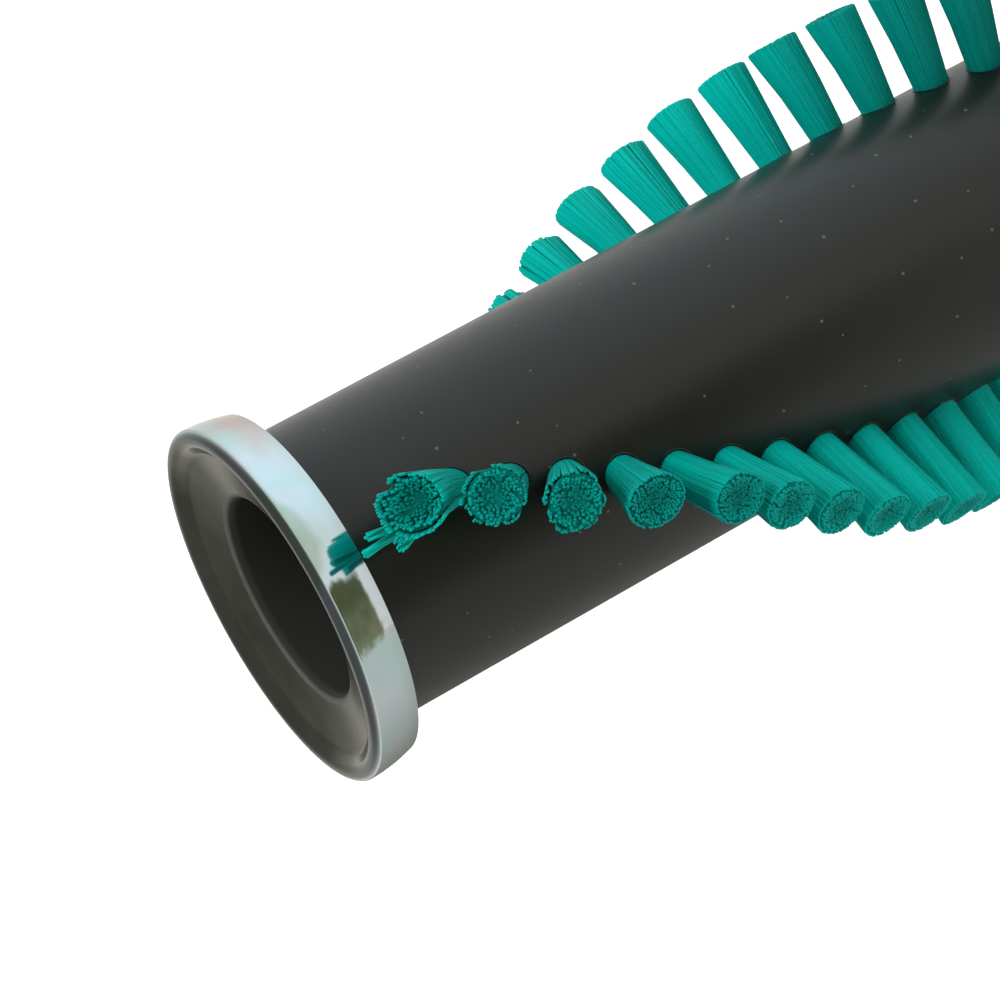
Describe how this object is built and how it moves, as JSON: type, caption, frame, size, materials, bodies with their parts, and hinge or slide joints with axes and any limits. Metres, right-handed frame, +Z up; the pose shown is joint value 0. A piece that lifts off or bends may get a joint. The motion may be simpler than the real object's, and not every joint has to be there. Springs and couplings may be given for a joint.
{
  "type": "vacuum brush roll",
  "caption": "Vacuum cleaner brush roll: dark tube with helical rows of teal nylon bristle tufts and a pressed, plated steel cap with a bearing seat on each end.",
  "frame": {"origin": "centre of the circle on which the lower cap stands, at the bottom centre of the bounding box", "axes": "+Z runs up the roll's axis from the lower cap to the upper cap, which is the end nearest the camera; -Y faces the camera, and the front row's uppermost tuft points close to -Y"},
  "size_m": [0.0659, 0.066, 0.29],
  "materials": {
    "tube_plastic": "semi-gloss moulded plastic",
    "cap_steel": "bright zinc plate on pressed steel",
    "tuft_nylon": "bundled nylon bristle",
    "anchor_wire": "drawn flat wire"
  },
  "bodies": {
    "root": {"roller_tube": "tube_plastic", "end_cap_top": "cap_steel", "end_cap_bottom": "cap_steel", "anchors_front_row": "anchor_wire", "anchors_back_row": "anchor_wire", "tuft_pair_01": "tuft_nylon", "tuft_pair_02": "tuft_nylon", "tuft_pair_03": "tuft_nylon", "tuft_pair_04": "tuft_nylon", "tuft_pair_05": "tuft_nylon", "tuft_pair_06": "tuft_nylon", "tuft_pair_07": "tuft_nylon", "tuft_pair_08": "tuft_nylon", "tuft_pair_09": "tuft_nylon", "tuft_pair_10": "tuft_nylon", "tuft_pair_11": "tuft_nylon", "tuft_pair_12": "tuft_nylon", "tuft_pair_13": "tuft_nylon", "tuft_pair_14": "tuft_nylon", "tuft_pair_15": "tuft_nylon", "tuft_pair_16": "tuft_nylon", "tuft_pair_17": "tuft_nylon", "tuft_pair_18": "tuft_nylon", "tuft_pair_19": "tuft_nylon", "tuft_pair_20": "tuft_nylon", "tuft_pair_21": "tuft_nylon", "tuft_pair_22": "tuft_nylon", "tuft_pair_23": "tuft_nylon", "tuft_pair_24": "tuft_nylon", "tuft_pair_25": "tuft_nylon", "tuft_pair_26": "tuft_nylon", "tuft_pair_27": "tuft_nylon", "tuft_pair_28": "tuft_nylon", "tuft_pair_29": "tuft_nylon", "tuft_pair_30": "tuft_nylon", "tuft_pair_31": "tuft_nylon", "tuft_pair_32": "tuft_nylon", "tuft_pair_33": "tuft_nylon", "tuft_pair_34": "tuft_nylon", "tuft_pair_35": "tuft_nylon", "tuft_pair_36": "tuft_nylon", "tuft_pair_37": "tuft_nylon", "tuft_pair_38": "tuft_nylon"}
  },
  "joints": []
}
